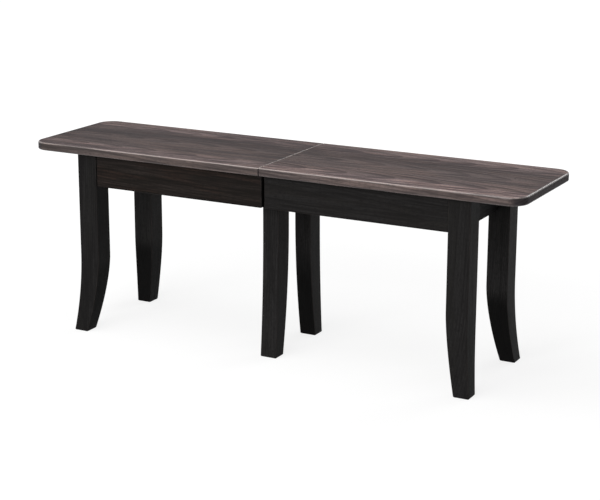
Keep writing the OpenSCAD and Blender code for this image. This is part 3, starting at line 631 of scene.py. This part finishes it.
apron_low, apron_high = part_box("right_back_apron")
end_apron_low, end_apron_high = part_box("right_end_apron")
apron_x, apron_y = (end_apron_low.x + end_apron_high.x) / 2, (apron_low.y + apron_high.y) / 2
apron_round, half_tenon, tenon_root = 0.003, 0.004, 0.003
below_tenon, above_tenon = 0.010, 0.028
board_z = (apron_low.z, apron_high.z)
tenon_z = (apron_low.z + below_tenon, apron_high.z - above_tenon)
apron_pith_z = 0.395
for side, word in ((-1, "left"), (1, "right")):
    for end, place in ((-1, "front"), (1, "back")):
        piece = apron(f"{word}_{place}_rail", [
            ((side * apron_low.x, side * leg_low.x), (end * apron_low.y, end * apron_high.y), board_z),
            ((side * (leg_low.x - tenon_root), side * apron_high.x),
             (end * (apron_y - half_tenon), end * (apron_y + half_tenon)), tenon_z)])
        piece.data.materials.append(black_stain(
            f"{word}_{place}_apron_stain", "X", shift=(0.7 * side, 0.3 * end, 0.1),
            pith=(0.19 * end, apron_pith_z), brown=1.2 if side < 0 else 0.1))
        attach(piece, f"{word}_half")
        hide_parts(f"{word}_{place}_apron")
    tenon_x = (side * (apron_x - half_tenon), side * (apron_x + half_tenon))
    piece = apron(f"{word}_end_rail", [
        ((side * end_apron_low.x, side * end_apron_high.x), (-leg_low.y, leg_low.y), board_z),
        (tenon_x, (end_apron_low.y, tenon_root - leg_low.y), tenon_z),
        (tenon_x, (leg_low.y - tenon_root, end_apron_high.y), tenon_z)])
    piece.data.materials.append(black_stain(
        f"{word}_end_apron_stain", "Y", shift=(0.2, 0.6 * side, 0.3), pith=(0.52 * side, apron_pith_z)))
    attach(piece, f"{word}_half")
    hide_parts(f"{word}_end_apron")


# The wooden parts inside, left in plain wood: corner blocks and cleats that hold the seat from below,
# the two cross rails between the centre legs, and the three waxed runners of the slide.
def finish_cad(node, paint, ease):
    """Joins a CAD piece's triangles into whole faces, eases its edges and gives it its material."""
    piece = bpy.data.objects[node]
    piece.modifiers.new("joined", "WELD").merge_threshold = 1e-6
    whole = piece.modifiers.new("whole_faces", "DECIMATE")
    whole.decimate_type = "DISSOLVE"
    whole.angle_limit = math.radians(0.5)
    ease_edges(piece, ease, steps=2)
    for face_slot in piece.material_slots:
        face_slot.material = paint


def block_maple(name, axis, shift, pith):
    dark, light, warm = (178, 146, 108), (213, 186, 146), (218, 180, 136)
    pore, end, edge_tint = (128, 98, 68), (160, 128, 92), (226, 206, 172)
    return wood(name, axis, shift, pith, (dark, light, warm, pore, end, edge_tint), rough=(0.55, 0.70),
                specular=0.25, streak_size=(0.08, 0.006))


def runner_beech(name, shift, pith):
    dark, light, warm = (196, 168, 126), (228, 206, 168), (224, 192, 148)
    pore, end, edge_tint = (158, 126, 90), (176, 146, 106), (238, 222, 192)
    return wood(name, "X", shift, pith, (dark, light, warm, pore, end, edge_tint), rough=(0.34, 0.46),
                specular=0.35, streak_size=(0.12, 0.004), figure=0.2)


for side, word in ((-1, "left"), (1, "right")):
    finish_cad(f"{word}_corner_blocks", block_maple(
        f"{word}_block_maple", "Y", shift=(0.4 * side, 0.1, 0.0), pith=(0.46 * side, 0.34)), ease=0.001)
    finish_cad(f"{word}_cleats", block_maple(
        f"{word}_cleat_maple", "X", shift=(0.9 * side, 0.3, 0.2), pith=(0.03, 0.37)), ease=0.001)
    finish_cad(f"{word}_cross_rail", block_maple(
        f"{word}_rail_maple", "Y", shift=(0.2 * side, 0.7, 0.5), pith=(0.08 * side, 0.36)), ease=0.0012)
    finish_cad(f"{word}_slide_runner", runner_beech(
        f"{word}_runner_beech", shift=(0.5 * side, 0.2, 0.8), pith=(0.02 * side, 0.33)), ease=0.0006)
finish_cad("centre_runner", runner_beech(
    "centre_runner_beech", shift=(0.1, 0.6, 0.4), pith=(0.01, 0.35)), ease=0.0006)


# Screws and bolts: turned and rolled steel with a real thread, a pointed or flat end and a crossed recess.
# Wood screws hold the seat, the runners and the latches; the bolts draw the legs tight.
screw_tree, given = shape_tree("screws", {
    "Places": "Geometry",
    **dict.fromkeys(("Length", "Thread radius", "Pitch", "Thread start", "Point", "Face radius",
                     "Neck radius", "Head height", "Dome", "Recess"), "Float"),
    "Seed": "Int", "Material": "Material"}, "Screws")


def moved_up(geometry, height):
    return make(geometry.tree, "GeometryNodeTransform", {
        "Geometry": geometry, "Translation": combine(0.0, 0.0, height)})


# The shank starts under the head, and the thread is a ridge that winds round it down to the blunt point
crest_share, blunt_share = 0.32, 0.3
crest = given["Pitch"] * crest_share
core = given["Thread radius"] - crest
shank_length = given["Length"] - given["Point"]
below_head = shank_length - given["Head height"]
shank = make(screw_tree, "GeometryNodeMeshCylinder", {
    "Vertices": 20, "Radius": core, "Depth": below_head}, output="Mesh")
shank = moved_up(shank, shank_length - below_head / 2.0)
thread_length = shank_length - given["Thread start"]
thread = make(screw_tree, "GeometryNodeCurveSpiral", {
    "Resolution": 16, "Rotations": thread_length / given["Pitch"], "Start Radius": core, "End Radius": core,
    "Height": thread_length})
thread = make(screw_tree, "GeometryNodeSetCurveNormal", {"Curve": thread}, mode="Z_UP")
ridge = make(screw_tree, "GeometryNodeCurvePrimitiveCircle", {"Resolution": 4, "Radius": crest})
thread = make(screw_tree, "GeometryNodeCurveToMesh", {
    "Curve": thread, "Profile Curve": ridge, "Fill Caps": True})
thread = moved_up(thread, given["Thread start"])
point = make(screw_tree, "GeometryNodeMeshCone", {
    "Vertices": 20, "Radius Top": core * blunt_share, "Radius Bottom": core,
    "Depth": given["Point"]}, output="Mesh")
point = moved_up(point, shank_length)

# The head runs from its face to its neck, straight as a cone's side or swelling to a dome
head = make(screw_tree, "GeometryNodeMeshCone", {
    "Vertices": 36, "Side Segments": 8, "Radius Top": given["Neck radius"],
    "Radius Bottom": given["Face radius"], "Depth": given["Head height"]}, output="Mesh")
here = make(screw_tree, "GeometryNodeInputPosition")
rise = here.parts()[2] / given["Head height"]
straight = given["Face radius"] + rise * (given["Neck radius"] - given["Face radius"])
flatness = (given["Face radius"] / given["Neck radius"]) ** 2.0
domed = given["Neck radius"] * (1.0 - (1.0 - rise) ** 2.0 * (1.0 - flatness)) ** 0.5
swell = (domed / straight - 1.0) * given["Dome"] + 1.0
head = make(screw_tree, "GeometryNodeSetPosition", {
    "Geometry": head, "Position": here * combine(swell, swell, 1.0)})

# Two crossed bars, so many times longer and deeper than wide, cut the recess for the driver
bar_length, bar_depth = 5.0, 4.0
bar = make(screw_tree, "GeometryNodeMeshCube", {"Size": combine(
    given["Recess"] * bar_length, given["Recess"], given["Recess"] * bar_depth)}, output="Mesh")
cross_bar = make(screw_tree, "GeometryNodeTransform", {"Geometry": bar, "Rotation": (0, 0, math.radians(90))})
crossed = add_node(screw_tree, "GeometryNodeMeshBoolean", {"Mesh": cross_bar}, operation="UNION",
                   solver="EXACT")
screw_tree.links.new(bar.socket, crossed.inputs[1])
head = make(screw_tree, "GeometryNodeMeshBoolean", {
    "Mesh 1": head, "Mesh 2": Value(screw_tree, crossed.outputs[0])}, operation="DIFFERENCE", solver="EXACT")
screw = add_node(screw_tree, "GeometryNodeJoinGeometry", {0: shank})
for part in (thread, point, head):
    screw_tree.links.new(part.socket, screw.inputs[0])

# Each screw was left at a turn of its own
yaw = make(screw_tree, "FunctionNodeRandomValue", {
    "Min": 0.0, "Max": math.tau, "Seed": given["Seed"]}, output="Value", data_type="FLOAT")
aim = make(screw_tree, "GeometryNodeInputNamedAttribute", {"Name": "aim"}, data_type="FLOAT_VECTOR")
turn = make(screw_tree, "FunctionNodeAxisAngleToRotation", {"Axis": (0, 0, 1), "Angle": yaw})
turn = make(screw_tree, "FunctionNodeAlignRotationToVector", {"Rotation": turn, "Vector": aim}, axis="Z")
placed = make(screw_tree, "GeometryNodeInstanceOnPoints", {
    "Points": given["Places"], "Instance": Value(screw_tree, screw.outputs[0]), "Rotation": turn})
end_tree(placed, given["Material"])


def metal(name, dark, light, rough, grain_size):
    """Plated steel or brass: clouded plating, fine rolling lines, uneven sheen and brighter edges."""
    paint = blank_material(name)
    tree = paint.node_tree
    place = make(tree, "ShaderNodeTexCoord", output="Object")
    cloud = stretched_noise(place, length=0.006, width=0.006, detail=4.0)
    lines = stretched_noise(place, *grain_size, detail=2.0)
    spots = stretched_noise(place, length=0.0012, width=0.0012, detail=1.0)
    colour = mix_colour(remap(cloud, 0.38, 0.62), dark, light)
    tarnish = tuple((part + 0.02) / 2 for part in dark[:3]) + (1.0,)
    colour = mix_colour(remap(spots, 0.64, 0.74, 0.0, 0.5), colour, tarnish)
    colour = mix_colour(rounded_edge(tree) * 0.5, colour, light)
    bump = make(tree, "ShaderNodeBump", {"Strength": 0.25, "Distance": 0.0001, "Height": lines})
    skin = make(tree, "ShaderNodeBsdfPrincipled", {
        "Base Color": colour, "Metallic": 1.0, "Roughness": remap(cloud, 0.3, 0.7, *rough), "Normal": bump})
    add_node(tree, "ShaderNodeOutputMaterial", {"Surface": skin})
    return paint


yellow_zinc = metal("yellow_zinc", srgb(156, 124, 66), srgb(206, 176, 104), rough=(0.26, 0.42),
                    grain_size=(0.004, 0.0004))
bright_zinc = metal("bright_zinc", srgb(142, 145, 150), srgb(192, 195, 200), rough=(0.28, 0.45),
                    grain_size=(0.008, 0.0004))


def drive(node, body, places, seed, paint, sizes):
    """Puts a screw at each (place, direction) and lets the lot stand for the CAD node of that name."""
    points = bpy.data.meshes.new(node)
    points.from_pydata([place for place, _ in places], [], [])
    aims = points.attributes.new("aim", "FLOAT_VECTOR", "POINT")
    for entry, (_, direction) in zip(aims.data, places):
        entry.vector = direction
    screws = grow(f"{node}_threaded", screw_tree, sizes | {"Seed": seed, "Material": paint}, points)
    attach(screws, body)
    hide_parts(node)


def drive_wood_screws(node, body, places, seed, radius=0.0022, pitch=0.0018):
    """Upright wood screws at each (x, y), as low and as long as those of the CAD node."""
    low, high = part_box(node)
    length = high.z - low.z
    drive(node, body, [((x, y, low.z), (0, 0, 1)) for x, y in places], seed, yellow_zinc, {
        "Length": length, "Thread radius": radius, "Pitch": pitch, "Thread start": length * 0.3,
        "Point": 2 * radius, "Face radius": 1.95 * radius, "Neck radius": 0.8 * radius,
        "Head height": 1.3 * radius, "Dome": 0.0, "Recess": 0.45 * radius})


# A corner block stands at 45 degrees behind its leg. Its screws and the bolt's end are placed by how far in
# they stand from the leg's inner corner, and the screws also by how far out along the block.
diagonal = math.sqrt(0.5)
block_in, block_along = 0.016, (0.024, 0.042)
bolt_in, bolt_length = 0.0403, 0.0683
bolt_z = (leg_high.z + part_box("right_corner_blocks")[0].z) / 2

# A cleat is as thick as it is high, with its screws along its middle; a runner's are evenly spaced too
cleat_low, cleat_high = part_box("right_cleats")
cleat_margin, cleat_screws, runner_screws = 0.030, 3, 4
cleat_step = (cleat_high.x - cleat_low.x - 2 * cleat_margin) / (cleat_screws - 1)
cleat_y = cleat_high.y - (cleat_high.z - cleat_low.z) / 2
runner_start, runner_step, runner_y = 0.060, 0.110, 0.028
for side, word in ((-1, "left"), (1, "right")):
    half = f"{word}_half"
    block_places, cleat_places, bolt_places = [], [], []
    for end in (-1, 1):
        block_places += [(side * (leg_low.x - diagonal * (block_in + along)),
                          end * (leg_low.y - diagonal * (block_in - along))) for along in block_along]
        cleat_places += [(side * (cleat_low.x + cleat_margin + cleat_step * i), end * cleat_y)
                         for i in range(cleat_screws)]
        bolt_x, bolt_y = (corner - diagonal * bolt_in for corner in (leg_low.x, leg_low.y))
        bolt_places.append(((side * bolt_x, end * bolt_y, bolt_z), (side * diagonal, end * diagonal, 0)))
    runner_places = [(side * (runner_start + runner_step * i), side * runner_y)
                     for i in range(runner_screws)]
    drive_wood_screws(f"{word}_block_screws", half, block_places, 3 + side)
    drive_wood_screws(f"{word}_cleat_screws", half, cleat_places, 7 + side)
    drive_wood_screws(f"{word}_runner_screws", half, runner_places, 11 + side)
    drive(f"{word}_hanger_bolts", half, bolt_places, 15 + side, bright_zinc, {
        "Length": bolt_length, "Thread radius": 0.004, "Pitch": 0.00125, "Thread start": 0.0008,
        "Point": 0.004, "Face radius": 0.0028, "Neck radius": 0.0036, "Head height": 0.0009, "Dome": 0.0,
        "Recess": 0.0})

# The cross rails are screwed to the centre runner and bolted together through both centre legs
rail_low, rail_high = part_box("right_cross_rail")
rail_x, rail_z = (rail_low.x + rail_high.x) / 2, (rail_low.z + rail_high.z) / 2
drive_wood_screws("centre_runner_screws", "centre_frame", [(-rail_x, 0), (rail_x, 0)], 21)
cradle_low, cradle_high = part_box("cradle_bolts")
cradle_y, half_spacing = centre_low.y + centre_depth / 2, 0.011
cradle_ys = [end * cradle_y + shift for end in (-1, 1) for shift in (-half_spacing, half_spacing)]
drive("cradle_bolts", "centre_frame",
      [((cradle_high.x, y, rail_z), (-1, 0, 0)) for y in cradle_ys], 25, bright_zinc, {
          "Length": cradle_high.x - cradle_low.x, "Thread radius": 0.003, "Pitch": 0.001,
          "Thread start": 0.060, "Point": 0.0008, "Face radius": 0.0040, "Neck radius": 0.0072,
          "Head height": 0.0035, "Dome": 1.0, "Recess": 0.0011})

# The latches are held by small screws, near both ends of each plate and in the far part of each keeper
latch_y, plate_margin, keeper_margins = 0.0925, 0.005, (0.017, 0.006)
plate_low, plate_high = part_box("latch_plates")
keeper_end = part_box("latch_keepers")[1].x
plate_xs = (plate_low.x + plate_margin, plate_high.x - plate_margin)
keeper_xs = [keeper_end - margin for margin in keeper_margins]
for node, body, xs, seed in (("latch_plate_screws", "left_half", plate_xs, 31),
                             ("latch_keeper_screws", "right_half", keeper_xs, 35)):
    drive_wood_screws(node, body, [(x, y) for x in xs for y in (-latch_y, latch_y)], seed,
                      radius=0.0016, pitch=0.0012)


# The metal and nylon fittings: washers and nuts on the bolts, racks that mesh with a moulded nylon pinion,
# stop pins, brass table pins, and the two stamped latches that hold the halves shut.
rolled_steel = metal("rolled_steel", srgb(144, 146, 150), srgb(174, 177, 182), rough=(0.36, 0.46),
                     grain_size=(0.03, 0.0003))
turned_brass = metal("turned_brass", srgb(168, 132, 70), srgb(214, 182, 112), rough=(0.24, 0.38),
                     grain_size=(0.0004, 0.004))
for word in ("left", "right"):
    finish_cad(f"{word}_hanger_washers", bright_zinc, ease=0.00025)
    finish_cad(f"{word}_hanger_nuts", bright_zinc, ease=0.0005)
    finish_cad(f"{word}_rack", rolled_steel, ease=0.00025)
for node, paint, ease in (
        ("cradle_washers", bright_zinc, 0.00025), ("cradle_nuts", bright_zinc, 0.0004),
        ("stop_pins", bright_zinc, 0.0004), ("pinion_axle", bright_zinc, 0.0005),
        ("table_pins", turned_brass, 0.0003), ("latch_plates", rolled_steel, 0.0003),
        ("latch_keepers", rolled_steel, 0.0003), ("front_latch_lever", rolled_steel, 0.0004),
        ("back_latch_lever", rolled_steel, 0.0004)):
    finish_cad(node, paint, ease)

moulded_nylon = blank_material("moulded_nylon")
tree = moulded_nylon.node_tree
place = make(tree, "ShaderNodeTexCoord", output="Object")
cloud = stretched_noise(place, length=0.005, width=0.005)
skin_grain = stretched_noise(place, length=0.0006, width=0.0006, detail=1.0)
grease = stretched_noise(place, length=0.003, width=0.003)
colour = mix_colour(remap(cloud, 0.4, 0.6), srgb(214, 208, 192), srgb(232, 228, 216))
colour = mix_colour(remap(grease, 0.52, 0.66, 0.0, 0.5), colour, srgb(168, 158, 134))
colour = mix_colour(rounded_edge(tree) * 0.6, colour, srgb(240, 238, 230))
bump = make(tree, "ShaderNodeBump", {"Strength": 0.2, "Distance": 0.0001, "Height": skin_grain})
skin = make(tree, "ShaderNodeBsdfPrincipled", {
    "Base Color": colour, "Roughness": remap(cloud, 0.3, 0.7, 0.36, 0.5), "Normal": bump})
add_node(tree, "ShaderNodeOutputMaterial", {"Surface": skin})
finish_cad("pinion", moulded_nylon, ease=0.0002)
